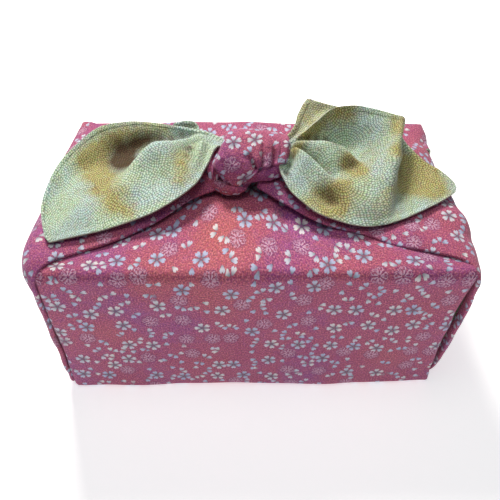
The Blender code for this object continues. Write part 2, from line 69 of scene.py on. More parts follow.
def pathDistance(points, path):
    # how far each point is from a path, with the path's width and height at its nearest place
    path = np.array(path, float)
    nearest = np.full(points.shape[:-1], 1e9)
    width = np.ones_like(nearest)
    height = np.zeros_like(nearest)
    for start, end in zip(path[:-1], path[1:]):
        line = end[:3] - start[:3]
        share = np.clip((points - start[:3]) @ line / max(line @ line, 1e-12), 0, 1)
        away = np.linalg.norm(points - start[:3] - share[..., None] * line, axis=-1)
        closer = away < nearest
        nearest = np.where(closer, away, nearest)
        width = np.where(closer, start[3] + share * (end[3] - start[3]), width)
        height = np.where(closer, start[4] + share * (end[4] - start[4]), height)
    return nearest, width, height


# how round the top of a crisp fold is, and how often the lift of a crest is evened out
crispTop, crestSmoothing = 0.2, 3


def addFolds(grid, folds, crisp=()):
    # each fold is a path of (x, y, z, width, height) in mm: a ridge over zero, a trough under it
    normals = gridNormals(grid)
    raised = np.zeros(grid.shape[:2])
    for number, path in enumerate((*folds, *crisp)):
        away, width, height = pathDistance(grid, np.array(path) / 1000)
        if number < len(folds):
            raised += height * np.exp(-((away / width) ** 2))
        else:
            raised += height * np.exp(crispTop - np.sqrt((away / width) ** 2 + crispTop**2))
    return grid + normals * raised[..., None]


def addCrests(grid, crests):
    # each crest is a path of (x, y, z, width before it, width behind it) in mm, that the sheet is
    # lifted or sunk to: seen from above, behind is the side on the left hand of the path
    for path in crests:
        path = np.array(path) / 1000
        flat = grid[..., :2].reshape(-1, 2)
        nearby = [np.argmin(((flat - place[:2]) ** 2).sum(axis=1)) for place in path]
        ground = grid[..., 2].ravel()[nearby]
        nearest = np.full(grid.shape[:2], 1e9)
        lift = np.zeros(grid.shape[:2])
        for number, (start, end) in enumerate(zip(path[:-1], path[1:])):
            line = end[:2] - start[:2]
            share = np.clip((grid[..., :2] - start[:2]) @ line / max(line @ line, 1e-12), 0, 1)
            off = grid[..., :2] - start[:2] - share[..., None] * line
            away = np.linalg.norm(off, axis=2)
            behind = line[0] * off[..., 1] - line[1] * off[..., 0] > 0
            before, after = (start[k] + share * (end[k] - start[k]) for k in (3, 4))
            wanted = start[2] + share * (end[2] - start[2])
            base = ground[number] + share * (ground[number + 1] - ground[number])
            height = (wanted - base) * np.exp(-((away / np.where(behind, after, before)) ** 2))
            lift = np.where(away < nearest, height, lift)
            nearest = np.minimum(away, nearest)
        for _ in range(crestSmoothing):
            wide = np.pad(lift, 1, mode="edge")
            lift = (wide[:-2, 1:-1] + wide[2:, 1:-1] + wide[1:-1, :-2] + wide[1:-1, 2:] + lift) / 5
        grid = grid.copy()
        grid[..., 2] += lift
    return grid


def unevenness(points, wavelength, seed, waves=14):
    # low, soft, random hills: a sum of waves in random directions
    draw = np.random.default_rng(seed)
    hills = np.zeros(points.shape[:-1])
    for _ in range(waves):
        direction = unit(draw.normal(size=3)) * circle / (wavelength * draw.uniform(0.6, 1.6))
        hills += np.cos(points @ direction + draw.uniform(0, circle))
    return hills / math.sqrt(waves / 2)


def roughen(grid, hills, seed, normals=None):
    # hills: pairs of wavelength and height in mm
    normals = gridNormals(grid) if normals is None else normals
    for step, (wavelength, height) in enumerate(hills):
        lift = unevenness(grid, wavelength / 1000, seed + step) * height / 1000
        grid = grid + normals * lift[..., None]
    return grid


def running(steps):
    return np.concatenate([[0], np.cumsum(steps)])


def arcLengths(grid):
    # how far along and across the cloth each point of the grid lies
    along = np.linalg.norm(np.diff(grid, axis=0), axis=2)
    across = np.linalg.norm(np.diff(grid, axis=1), axis=2)
    u = np.hstack([np.zeros((len(grid), 1)), np.cumsum(across, axis=1)])
    v = running(along.mean(axis=1))[:, None]
    return u - u.mean(axis=1, keepdims=True), v.repeat(grid.shape[1], axis=1)


# cloth as mesh

def makeGrid(name, grid):
    # a primitive grid whose points move to the given ones; its faces look along rows x columns
    rows, columns = grid.shape[:2]
    bpy.ops.object.select_all(action="DESELECT")
    bpy.ops.mesh.primitive_grid_add(x_subdivisions=rows - 1, y_subdivisions=columns - 1, size=1)
    piece = bpy.context.object
    piece.name = name
    piece.data.name = name
    order = grid.transpose(1, 0, 2).reshape(-1, 3)
    piece.data.vertices.foreach_set("co", order.astype(np.float32).ravel())
    piece.data.update()
    return piece


def setUv(piece, u, v, offset):
    corners = np.empty(len(piece.data.loops), int)
    piece.data.loops.foreach_get("vertex_index", corners)
    flat = np.stack([u.T.ravel() + offset[0], v.T.ravel() + offset[1]], axis=1)
    piece.data.uv_layers[0].data.foreach_set("uv", flat[corners].astype(np.float32).ravel())
    piece.data.uv_layers[0].name = "cloth"


def paint(piece, name, points, zones):
    # a value on the cloth that fades out round each zone (x, y, z, radius, strength), in mm
    value = np.zeros(len(points))
    for x, y, z, radius, strength in zones:
        away = np.linalg.norm(points * 1000 - (x, y, z), axis=1)
        value += strength * np.exp(-((away / radius) ** 2))
    layer = piece.data.attributes.new(name, "FLOAT", "POINT")
    layer.data.foreach_set("value", np.clip(value, 0, 1).astype(np.float32))


def layCloth(name, grid, u, v, d):
    # the sheet as a mesh, with its print laid out, its warm tint and its deep tint, which is partly dye
    # and partly painted shade
    piece = makeGrid(name, grid)
    setUv(piece, u, v, d["uv"])
    points = grid.transpose(1, 0, 2).reshape(-1, 3)
    for tint in ("warm", "deep"):
        paint(piece, tint, points, d[tint])
    return piece


def applyAll(piece):
    bpy.ops.object.select_all(action="DESELECT")
    piece.select_set(True)
    bpy.context.view_layer.objects.active = piece
    for modifier in list(piece.modifiers):
        bpy.ops.object.modifier_apply(modifier=modifier.name)


# the least angle of a hem that is rounded, and the greatest of a sheet that looks smooth
hemAngle, sheetAngle = 55, 50


def thicken(piece, thickness, offset, faces, rounding=0.0):
    # gives the sheet its thickness; faces = finishes for the grid's face, the other one and the rim
    for finish in faces:
        piece.data.materials.append(finish)
    wall = piece.modifiers.new("thickness", "SOLIDIFY")
    wall.thickness = thickness
    wall.offset = offset
    wall.material_offset = 1
    wall.material_offset_rim = len(faces) - 1
    if rounding:
        bevel = piece.modifiers.new("rounded hem", "BEVEL")
        bevel.width = rounding
        bevel.segments = 2
        bevel.limit_method = "ANGLE"
        bevel.angle_limit = math.radians(hemAngle)
    applyAll(piece)
    bpy.ops.object.shade_smooth_by_angle(angle=math.radians(sheetAngle))


def dress(piece):
    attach(piece, "root")
    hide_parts("cloth")
    print("made", piece.name, len(piece.data.polygons), "faces")


# shaders

class Wire:
    # an output socket; arithmetic on it adds Math nodes
    def __init__(self, socket):
        self.socket = socket

    def math(self, operation, *others):
        tree = self.socket.id_data
        made = tree.nodes.new("ShaderNodeMath")
        made.operation = operation
        for port, value in zip(made.inputs, (self, *others)):
            if isinstance(value, Wire):
                tree.links.new(value.socket, port)
            else:
                port.default_value = value
        return Wire(made.outputs[0])

    def __add__(self, other):
        return self.math("ADD", other)

    def __sub__(self, other):
        return self.math("SUBTRACT", other)

    def __rsub__(self, other):
        return self.math("MULTIPLY_ADD", -1.0, other)

    def __mul__(self, other):
        return self.math("MULTIPLY", other)

    __radd__ = __add__
    __rmul__ = __mul__

    def clamp(self):
        return self.math("MAXIMUM", 0.0).math("MINIMUM", 1.0)

    def least(self, other):
        return self.math("MINIMUM", other)

    def over(self, level, softness):
        # 0 under the level and 1 over it, with a soft step
        return ((self - level) * (1 / softness) + 0.5).clamp()


class Finish:
    # a material and the one method that adds its nodes
    def __init__(self, name):
        self.material = bpy.data.materials.new(name)
        self.material.use_nodes = True
        self.tree = self.material.node_tree
        self.shader = self.tree.nodes["Principled BSDF"]

    def node(self, kind, settings=None, sockets=None, output=0):
        made = self.tree.nodes.new(kind)
        for key, value in (settings or {}).items():
            setattr(made, key, value)
        for key, value in (sockets or {}).items():
            if isinstance(value, Wire):
                self.tree.links.new(value.socket, made.inputs[key])
            else:
                made.inputs[key].default_value = value
        return Wire(made.outputs[output])

    def mix(self, factor, first, second, how="MIX"):
        ends = [(*c, 1.0) if isinstance(c, tuple) else c for c in (first, second)]
        settings = {"data_type": "RGBA", "blend_type": how}
        return self.node("ShaderNodeMix", settings, {0: factor, 6: ends[0], 7: ends[1]}, output=2)

    def parts(self, vector):
        split = self.node("ShaderNodeSeparateXYZ", None, {0: vector}).socket.node
        return [Wire(port) for port in split.outputs]

    def cells(self, where, spacing, scatter):
        # distance, three random numbers and local place in the nearest cell of a scattered grid
        sockets = {"Vector": where, "Scale": 1 / spacing, "Randomness": scatter}
        made = self.node("ShaderNodeTexVoronoi", {"voronoi_dimensions": "2D"}, sockets).socket.node
        middle = Wire(made.outputs["Position"])
        local = self.node("ShaderNodeVectorMath", {"operation": "SUBTRACT"}, {0: where, 1: middle})
        draws = self.parts(Wire(made.outputs["Color"]))
        return Wire(made.outputs["Distance"]) * spacing, draws, local, middle

    def attribute(self, name):
        return self.node("ShaderNodeAttribute", {"attribute_name": name}, output=2)

    def noise(self, where, size, detail=2.0, output=0):
        return self.node("ShaderNodeTexNoise", {"noise_dimensions": "3D"},
                         {"Vector": where, "Scale": 1 / size, "Detail": detail}, output)

    def fix(self, constants):
        for name, value in constants.items():
            self.shader.inputs[name].default_value = value

    def connect(self, wire, name):
        self.tree.links.new(wire.socket, self.shader.inputs[name])

    def bump(self, height, distance, strength):
        lifted = self.node("ShaderNodeBump", None,
                           {"Height": height, "Distance": distance, "Strength": strength})
        self.connect(lifted, "Normal")


rosePrint = {
    "blossomSpacing": 0.0170, "blossomScatter": 0.78, "blossom": 0.0047,
    "looseSpacing": 0.0080, "looseScatter": 0.90, "looseClear": 0.0066,
    "ground": (0.45, 0.075, 0.180), "salmon": (0.56, 0.118, 0.125), "plum": (0.30, 0.064, 0.30),
    "petalPale": (0.82, 0.75, 0.75), "petalBlue": (0.50, 0.54, 0.74),
    "petalRoot": (0.115, 0.110, 0.170), "lace": (0.84, 0.56, 0.72), "laceGround": (0.20, 0.035, 0.15),
    "lightSpeck": (0.92, 0.46, 0.50), "darkSpeck": (0.12, 0.010, 0.06), "drift": 0.050, "patch": 0.0065,
    "filledFrom": 0.40, "pairFrom": 0.45, "looseFrom": 0.08, "petalEdge": (0.06, 0.30),
    "roughness": 0.82, "sheen": 0.12, "sheenRoughness": 0.55, "grain": 0.00085, "thread": 0.00035,
}


def petalField(along, aside):
    # over zero inside a petal that points along: a wedge from its root, with a notch in its round tip
    body = 1 - ((along - 0.62) * 2.35).math("POWER", 2.0) - (aside * 2.75).math("POWER", 2.0)
    wedge = (along * 0.46 - aside) * 6.0
    notch = (aside - (along - 0.86) * 0.75) * 8.0
    return body.least(wedge).least(notch)


def weave(finish, where, thread):
    x, y, _ = finish.parts(where)
    return (x * (math.pi / thread)).math("SINE") * (y * (math.pi / thread)).math("SINE")


def makeRosePrint():
    d = rosePrint
    finish = Finish("rosePrint")
    where = finish.node("ShaderNodeUVMap", {"uv_map": "cloth"})
    away, draws, local, _ = finish.cells(where, d["blossomSpacing"], d["blossomScatter"])
    x, y, _ = finish.parts(local)
    radius = away * (1 / d["blossom"])
    angle = y.math("ARCTAN2", x) + draws[0] * circle
    fifth = angle.math("FLOORED_MODULO", circle / 5) - circle / 10
    along = radius * fifth.math("COSINE")
    aside = (radius * fifth.math("SINE")).math("ABSOLUTE")
    field = petalField(along, aside)
    solid = draws[1].over(d["filledFrom"], 0.01)
    full = field.over(*d["petalEdge"]) * solid

    # the blossoms in outline, a lace of fine lines
    outline = (1 - (field - 0.16).math("ABSOLUTE") * 4.6).clamp()
    rays = ((angle * 7.5).math("COSINE") * 1.4).clamp()
    rays = rays * (radius - 0.16).over(0, 0.1) * (0.60 - radius).over(0, 0.1)
    rim = ((angle * 12.5).math("COSINE") * 1.5).clamp()
    rim = rim * (1 - (radius - 0.78).math("ABSOLUTE") * 7.0).clamp()
    lace = (outline + rays * 0.8 + rim * 0.7).clamp() * (1 - solid)
    disc = (1.12 - radius).over(0, 0.35) * (1 - solid * 0.75)

    # loose petals, one or two together, where no blossom is near
    _, chance, looseLocal, middle = finish.cells(where, d["looseSpacing"], d["looseScatter"])
    apart, _, _, _ = finish.cells(middle, d["blossomSpacing"], d["blossomScatter"])
    lx, ly, _ = finish.parts(looseLocal)
    turn = chance[0] * circle
    cosine, sine = turn.math("COSINE"), turn.math("SINE")
    pair = chance[1].over(d["pairFrom"], 0.01)
    forward = (lx * cosine + ly * sine) * (1 / d["blossom"]) + 0.62 - pair * 0.10
    sideways = ((ly * cosine - lx * sine) * (1 / d["blossom"])).math("ABSOLUTE")
    bent = pair * 0.64
    looseAlong = forward * bent.math("COSINE") + sideways * bent.math("SINE")
    looseAside = (sideways * bent.math("COSINE") - forward * bent.math("SINE")).math("ABSOLUTE")
    loose = petalField(looseAlong, looseAside).over(*d["petalEdge"])
    loose = loose * apart.over(d["looseClear"], 0.0001) * chance[2].over(d["looseFrom"], 0.01)

    # the ground drifts from rose to salmon and plum, and is finely mottled; the deep tint's zones also
    # lay plum as painted shade under the knot and along the valley beside it
    grain = finish.noise(where, d["grain"], 3.0)
    mottle = finish.noise(where, d["grain"], output=1)
    drift = finish.noise(where, d["drift"], 1.0)
    patch = finish.noise(where, d["patch"])
    warm = (finish.attribute("warm") + (drift - 0.56) * 2.2).clamp()
    deep = (finish.attribute("deep") + (0.47 - drift) * 2.4 + (patch - 0.52) * 1.3).clamp()
    ground = finish.mix(warm, d["ground"], d["salmon"])
    ground = finish.mix(deep * 0.9, ground, d["plum"])
    ground = finish.mix(disc * 0.45, ground, d["laceGround"])
    ground = finish.mix(0.75, ground, mottle, "OVERLAY")
    speck = (grain - 0.5) * 2.3
    ground = finish.mix(speck.clamp(), ground, d["lightSpeck"])
    ground = finish.mix((speck * -1.2).clamp(), ground, d["darkSpeck"])
    shade = (field.over(-0.75, 1) * solid * (1.15 - radius * 1.5).clamp()).clamp()
    ground = finish.mix(shade * 0.75, ground, d["petalRoot"])
    colour = finish.mix(lace * 0.80, ground, d["lace"])

    # petals are pale at their tips and dusky at their roots, some of them bluer than others
    tip = (full * along + loose * looseAlong * (1 - full)).clamp()
    hue = (draws[2] * full + chance[2] * loose * (1 - full) + (patch - 0.5) * 1.6 + 0.15).clamp()
    petals = finish.mix(hue, d["petalPale"], d["petalBlue"])
    petals = finish.mix((1.12 - tip * 1.75).clamp(), petals, d["petalRoot"])
    petals = finish.mix(0.35, petals, mottle, "OVERLAY")
    white = (full + loose).clamp()
    colour = finish.mix(white, colour, petals)
    finish.connect(colour, "Base Color")
    finish.connect(d["roughness"] - white * 0.06 + (grain - 0.5) * 0.10, "Roughness")
    finish.bump(grain * 0.8 + weave(finish, where, d["thread"]) * 0.5 + white * 0.12, 0.00022, 0.5)
    finish.fix({"Sheen Weight": d["sheen"], "Sheen Roughness": d["sheenRoughness"]})
    return finish.material


mintReverse = {
    "fan": 0.0270, "scatter": 0.75, "ring": 0.00150, "wobble": 0.0016, "wobbleSize": 0.0022,
    "mint": (0.235, 0.350, 0.225), "mintDot": (0.74, 0.90, 0.70),
    "sky": (0.222, 0.325, 0.292), "skyDot": (0.70, 0.86, 0.82),
    "gold": (0.190, 0.150, 0.038), "goldDot": (0.62, 0.57, 0.22),
    "brownDyeAndPaintedShade": (0.040, 0.017, 0.004), "brownDotDyeAndPaintedShade": (0.115, 0.066, 0.022),
    "speck": (0.88, 0.90, 0.78), "dot": (0.36, 0.26), "spiral": 0.37,
    "grain": 0.0007, "mottle": 1 / 700, "blotch": 0.0060, "drift": 0.022, "thread": 0.00035,
    "roughness": 0.80, "sheen": 0.10, "sheenRoughness": 0.55, "specular": 0.25,
    "glow": 0.5, "glowDepth": 0.0015, "glowReach": (1, 1, 0.9),
}


def makeMintReverse():
    d = mintReverse
    finish = Finish("mintReverse")
    where = finish.node("ShaderNodeUVMap", {"uv_map": "cloth"})
    wobble = finish.noise(where, d["wobbleSize"], 1.0, output=1)
    uneven = finish.node("ShaderNodeVectorMath", {"operation": "MULTIPLY_ADD"},
                         {0: wobble, 1: (d["wobble"],) * 3, 2: where})
    away, _, local, _ = finish.cells(uneven, d["fan"], d["scatter"])
    x, y, _ = finish.parts(local)
    # dots in rings round the middle of each fan
    rings = away * (1 / d["ring"])
    number = rings.math("FLOOR")
    inRing = rings - number - 0.5
    count = ((number + 0.5) * circle).math("ROUND")
    around = y.math("ARCTAN2", x) * (1 / circle) * count + number * d["spiral"]
    inDot = around.math("FRACT") - 0.5
    reach = (inRing.math("POWER", 2.0) + inDot.math("POWER", 2.0)).math("SQRT")
    dots = (d["dot"][0] - reach).over(0, d["dot"][1])
    grain = finish.noise(where, d["grain"])
    mottle = finish.noise(where, d["mottle"], output=1)
    blotch = finish.noise(where, d["blotch"])
    cool = (finish.noise(where, d["drift"], 1.0) - 0.50).over(0, 0.22)
    warm = (finish.attribute("warm") + blotch - 0.42).clamp()
    # the deep tint turns ground and dots dark brown: the dye's drift to brown, and painted shade in the
    # ears' hollows, slots and bowls
    deep = (finish.attribute("deep") * ((blotch - 0.5) * 0.3 + 1)).clamp()
    ground = finish.mix(warm, finish.mix(cool, d["mint"], d["sky"]), d["gold"])
    pale = finish.mix(warm, finish.mix(cool, d["mintDot"], d["skyDot"]), d["goldDot"])
    ground = finish.mix(deep, ground, d["brownDyeAndPaintedShade"])
    pale = finish.mix(deep, pale, d["brownDotDyeAndPaintedShade"])
    colour = finish.mix(dots, ground, pale)
    colour = finish.mix(0.45, colour, mottle, "OVERLAY")
    colour = finish.mix(((grain - 0.5) * 1.2).clamp() * (1 - deep * 0.85), colour, d["speck"])
    finish.connect(colour, "Base Color")
    finish.connect(d["roughness"] + (grain - 0.5) * 0.10, "Roughness")
    finish.bump(grain * 0.7 + dots * 0.5 + weave(finish, where, d["thread"]) * 0.4, 0.0002, 0.45)
    # some of the light behind a single layer comes through it
    finish.fix({"Subsurface Weight": d["glow"], "Subsurface Scale": d["glowDepth"],
                "Subsurface Radius": d["glowReach"], "Specular IOR Level": d["specular"],
                "Sheen Weight": d["sheen"], "Sheen Roughness": d["sheenRoughness"]})
    return finish.material


# the folded edge of the hem, where the pale reverse wraps round, and the card of the box
hemEdgeTones = {
    "dark": (0.36, 0.38, 0.27), "pale": (0.58, 0.59, 0.46), "soft": 0.4,
    "grain": 0.0007, "detail": 2.0, "bump": 0.4, "roughness": 0.85,
}
cardTones = {
    "dark": (0.50, 0.42, 0.32), "pale": (0.66, 0.58, 0.47), "soft": 0.5,
    "grain": 0.0015, "detail": 4.0, "bump": 0.3, "roughness": 0.9,
}


def makePlain(name, d):
    finish = Finish(name)
    where = finish.node("ShaderNodeTexCoord", output=3)
    grain = finish.noise(where, d["grain"], d["detail"])
    finish.connect(finish.mix(grain.over(0.5, d["soft"]), d["dark"], d["pale"]), "Base Color")
    finish.bump(grain, 0.0002, d["bump"])
    finish.fix({"Roughness": d["roughness"]})
    return finish.material


rose = makeRosePrint()
mint = makeMintReverse()
hemEdge = makePlain("hemEdge", hemEdgeTones)
card = makePlain("plainCard", cardTones)
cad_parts["box"].material_slots[0].material = card
print("finishes made")


# the band: front flap, front, underside, back and back flap in one sheet

band = {
    "length": 0.234, "depth": 0.1424, "height": 0.1117, "edge": 0.0050, "end": 0.0030, "lap": 0.0022,
    "frontFlap": (0.030, -0.038), "backFlap": (0.004, 0.038), "flapStart": 0.12, "lapLength": 0.012,
    "endReturn": 0.024, "returnSteps": 9, "turnSteps": 8,
    "pull": 0.0040, "pullFront": (0.040, 0.065), "pullEnd": (0.070, 0.112),
    "legs": (16, 30, 14, 24), "arc": 8, "stations": 200, "thickness": 0.0010, "leastRadius": 0.0012,
    "hills": ((55, 0.35), (22, 0.12)), "seed": 11, "uv": (0.013, 0.021),
    "folds": [
        [(-24, -24, 111.7, 15, 2.2), (-6, -60, 111.7, 15, 2.2)],
        [(22, -28, 111.7, 9, -1.8), (46, -56, 111.7, 10, -1.6)],
        [(14, -18, 111.7, 3.2, -3), (17, -28, 111.7, 3.6, -3.4), (21, -42, 111.7, 4.4, -2.6),
         (28, -56, 111.7, 6, -0.9)],
        [(50, -40, 111.7, 10, 1.4), (84, -62, 111.7, 10, 1.4)],
        [(-60, -71.2, 85, 30, 0.9), (60, -71.2, 85, 30, 0.9)],
        [(-90, -71.2, 30, 24, 0.7), (80, -71.2, 40, 24, 0.7)],
        [(-70, 71.2, 70, 32, 1), (70, 71.2, 60, 32, 1)],
    ],
    "warm": [(-15, -45, 112, 34, 0.8), (-50, -60, 108, 30, 0.4), (90, -60, 110, 26, 0.4),
             (60, 60, 112, 40, 0.3)],
    # the deep zones by the knot's foot and along the valley to its right are painted shade
    "deep": [(25, -24, 111, 9, 1), (30, -38, 111, 12, 1), (34, -53, 112, 12, 0.9),
             (48, -50, 112, 12, 0.6), (20, -20, 112, 8, 0.8), (-100, -66, 100, 30, 0.35),
             (-95, 60, 112, 40, 0.45), (-70, -71, 50, 40, 0.25)],
}


def bandSection(inset, frontFlap, backFlap):
    d = band
    half = d["depth"] / 2 - inset
    top = d["height"] - inset
    radius = max(d["edge"] - inset, d["leastRadius"])
    flat = half - radius
    corners = [(-flat, top - radius, 90), (-flat, inset + radius, 180),
               (flat, inset + radius, 270), (flat, top - radius, 360)]
    path = [(y, top) for y in np.linspace(frontFlap, -flat, d["legs"][0])[:-1]]
    for number, (y, z, angle) in enumerate(corners):
        for turn in np.radians(np.linspace(angle, angle + 90, d["arc"])):
            path.append((y + radius * math.cos(turn), z + radius * math.sin(turn)))
        if number < 3:
            nextY, nextZ, facing = corners[number + 1]
            start = np.array(path[-1])
            end = np.array((nextY, nextZ)) + radius * np.array(
                (math.cos(math.radians(facing)), math.sin(math.radians(facing))))
            for share in np.linspace(0, 1, d["legs"][number + 1])[1:-1]:
                path.append(tuple(start + share * (end - start)))
    for y in np.linspace(flat, backFlap, d["legs"][0] + 1)[1:]:
        lift = min(max((d["frontFlap"][0] + d["lapLength"] - y) / d["lapLength"], 0), 1)
        path.append((y, top + d["lap"] * lift))
    return path


def makeBand():
    d = band
    flat = d["length"] / 2 - d["end"]
    insets = np.linspace(d["endReturn"], d["end"], d["returnSteps"])[:-1]
    right = [(d["length"] / 2, inset) for inset in insets]
    for turn in np.radians(np.linspace(90, 0, d["turnSteps"])):
        right.append((flat + d["end"] * math.sin(turn), d["end"] * (1 - math.cos(turn))))
    stations = [(-x, inset) for x, inset in right]
    stations += [(x, 0.0) for x in np.linspace(-flat, flat, d["stations"])[1:-1]] + right[::-1]
    sections = []
    for x, inset in stations:
        share = max((min(abs(x) / flat, 1) - d["flapStart"]) / (1 - d["flapStart"]), 0)
        front = d["frontFlap"][0] + share * (d["frontFlap"][1] - d["frontFlap"][0])
        back = d["backFlap"][0] + share * (d["backFlap"][1] - d["backFlap"][0])
        section = []
        for y, z in bandSection(inset, front, back):
            face = np.clip((-y - d["pullFront"][0]) / (d["pullFront"][1] - d["pullFront"][0]), 0, 1)
            end = np.clip((x - d["pullEnd"][0]) / (d["pullEnd"][1] - d["pullEnd"][0]), 0, 1)
            section.append((x - d["pull"] * face * end * math.sin(math.pi * z / d["height"]), y, z))
        sections.append(section)
    grid = np.array(sections)[::-1]
    across = np.linalg.norm(np.diff(grid, axis=1), axis=2).mean(axis=0)
    along = np.linalg.norm(np.diff(grid, axis=0), axis=2)[:, grid.shape[1] // 4]
    u = running(along)[:, None].repeat(grid.shape[1], axis=1)
    v = running(across)[None].repeat(grid.shape[0], axis=0)
    grid = roughen(addFolds(grid, d["folds"]), d["hills"], d["seed"])
    grid[..., 2] = np.maximum(grid[..., 2], 0)
    piece = layCloth("wrapBand", grid, u, v, d)
    thicken(piece, d["thickness"], -1, (rose, mint))
    return piece


dress(makeBand())


# the two side folds, from under each end up and over the top to the knot

sides = {
    "columns": 70, "rows": 150, "squareness": 7.0, "roll": 0.0011, "rollSteps": 7, "tuck": 0.005,
    "thickness": 0.0009, "hills": ((34, 0.30), (12, 0.10)),
}
# reach, height, front, back, front crown, back crown, in mm
leftSide = {
    "rows": [
        (114.6, 2.4, -65.5, 65.5, 0, 0), (119.2, 6.8, -70.5, 69, 2, 0.6),
        (119.4, 20, -71.4, 70.5, 6.4, 3), (119.4, 45, -71.6, 70.8, 7.8, 4),
        (119.4, 70, -71.8, 70.6, 8, 3.4), (119.4, 93, -72, 70.4, 9.2, 1.6),
        (118.2, 109, -72.2, 69.4, 9.4, 0.6), (111, 114.2, -64, 66, 3, 0.6),
        (95, 114.8, -56, 57, 2.4, 1), (78, 115, -48, 48, 1.8, 1.4),
        (57, 115.6, -34, 38, 1.8, 1.8), (38, 116.6, -16, 28, 2.4, 2.4),
        (22, 118, -8, 21, 3, 3), (10, 119.5, -3, 16, 2, 2),
    ],
    "folds": [
        [(-112, 30, 117, 7, 1.4), (-30, 16, 119, 7, 1.4)],
        [(-125, -30, 20, 10, 1.2), (-126, -46, 100, 10, 1.2)],
        [(-125, 10, 15, 9, -1.4), (-126, 30, 95, 9, -1.4)],
        [(-110, -30, 117, 7, -1), (-50, -12, 118, 7, -1)],
    ],
    "crisp": [
        [(-124, -60, 10, 2.5, -1.2), (-126, -34, 60, 2.5, -0.9), (-125, -22, 104, 2.5, -0.2)],
        [(-123, 58, 12, 2.5, -1.2), (-124, 36, 58, 2.5, -0.9), (-123, 24, 100, 2.5, -0.1)],
    ],
    "warm": [(-60, -25, 117, 25, 0.5)],
    "deep": [(-118, -40, 112, 34, 0.55), (-122, -50, 60, 45, 0.25), (-100, 40, 115, 40, 0.5)],
    "seed": 21, "uv": (0.41, 0.07),
}
rightSide = {
    "rows": [
        (114.6, 2.4, -62.5, 65.5, 0, 0), (119.2, 7, -64, 69, 0.4, 0.4),
        (119.5, 22, -67, 70.2, 1, 2), (119.6, 45, -70, 70.4, 2, 3),
        (119.6, 70, -70.8, 70.4, 2.8, 2.6), (119.6, 93, -71, 70.2, 3, 1),
        (118.4, 108, -71.2, 69, 3.4, 0.2), (112, 113.8, -63, 64, 1.4, 0.4),
        (95, 114.6, -56.5, 57, 2, 1), (77, 114.8, -52, 49, 1.8, 1.4),
        (56, 115.4, -42.5, 39, 1.8, 1.8), (37, 116.2, -36, 30, 2.2, 2.2),
        (18, 117.2, -21.5, 22, 3, 3), (1, 118.5, -7, 17, 2, 2),
    ],
    "folds": [
        [(112, 34, 117, 7, 1.4), (30, 14, 119, 7, 1.4)],
        [(118, -28, 114, 8, 1.6), (121, -46, 60, 8, 1.6)],
        [(117, -44, 113, 6, -1.2), (60, -26, 117, 6, -1.2)],
        [(121, 12, 20, 9, -1.2), (121, 30, 95, 9, -1.2)],
        [(118, 40, 111, 10, -2.8), (118, 14, 112, 10, -2.8)],
    ],
    "crisp": [
        [(121, -54, 10, 2.5, -1.2), (122, -30, 60, 2.5, -0.9), (121, -18, 104, 2.5, -0.2)],
        [(121, 56, 14, 2.5, -1.2), (122, 34, 58, 2.5, -0.9), (121, 22, 100, 2.5, -0.1)],
    ],
    "warm": [(100, -30, 115, 40, 0.35)],
    # the deep zones by the knot and under the ear's near hem are painted shade
    "deep": [(30, -22, 118, 22, 0.5), (8, -12, 119, 16, 0.6)],
    "seed": 31, "uv": (0.77, 0.33),
}


def makeSide(name, side, hand):
    d = sides
    rows = readRows(np.array(side["rows"]) / 1000, np.linspace(0, 1, d["rows"]))
    steps = unit(np.gradient(rows[:, :2], axis=0))
    outX, outZ = steps[:, 1:2], -steps[:, 0:1]
    across = 0.5 - 0.5 * np.cos(np.pi * np.linspace(0, 1, d["columns"]))
    arch = 1 - np.abs(2 * across - 1) ** d["squareness"]
    bulge = (rows[:, 4:5] + (rows[:, 5:6] - rows[:, 4:5]) * across) * arch
    front = rows[:, 2:3] + d["roll"]
    back = rows[:, 3:4] - d["roll"]
    x = hand * (rows[:, 0:1] + outX * bulge)
    y = front + (back - front) * across
    z = rows[:, 1:2] + outZ * bulge
    grid = np.stack([x, y, z], axis=2)
    if hand < 0:
        grid = grid[:, ::-1]
    grid = addFolds(grid[:, ::-1], side["folds"], side["crisp"])
    grid = roughen(grid, d["hills"], side["seed"])
    # both long edges are turned under, as the cloth is folded there
    out = np.stack([hand * outX, 0 * outX, outZ], axis=2)
    strips = []
    for edge, toFront in ((0, hand), (-1, -hand)):
        sideways = np.array((0, toFront, 0))
        turned = [grid[:, [edge]] + d["roll"] * (math.sin(turn) * sideways - (1 - math.cos(turn)) * out)
                  for turn in np.radians(np.linspace(0, 180, d["rollSteps"] + 1)[1:])]
        turned += [turned[-1] - step * d["tuck"] * sideways for step in (0.5, 1)]
        strips.append(np.concatenate(turned, axis=1))
    grid = np.concatenate([strips[0][:, ::-1], grid, strips[1]], axis=1)
    u, v = arcLengths(grid)
    piece = layCloth(name, grid, u, v, side)
    thicken(piece, d["thickness"], -1, (rose, mint))
    return piece


for end, side, hand in (("wrapEndLeft", leftSide, -1), ("wrapEndRight", rightSide, 1)):
    dress(makeSide(end, side, hand))


# the ears

ears = {
    "across": (0, 0.27, 0.52, 0.76, 0.91, 1), "thickness": 0.0010, "rounding": 0.0003,
    "hemWidth": 0.0032, "hemLift": 0.0004, "hemStep": 0.0007,
}
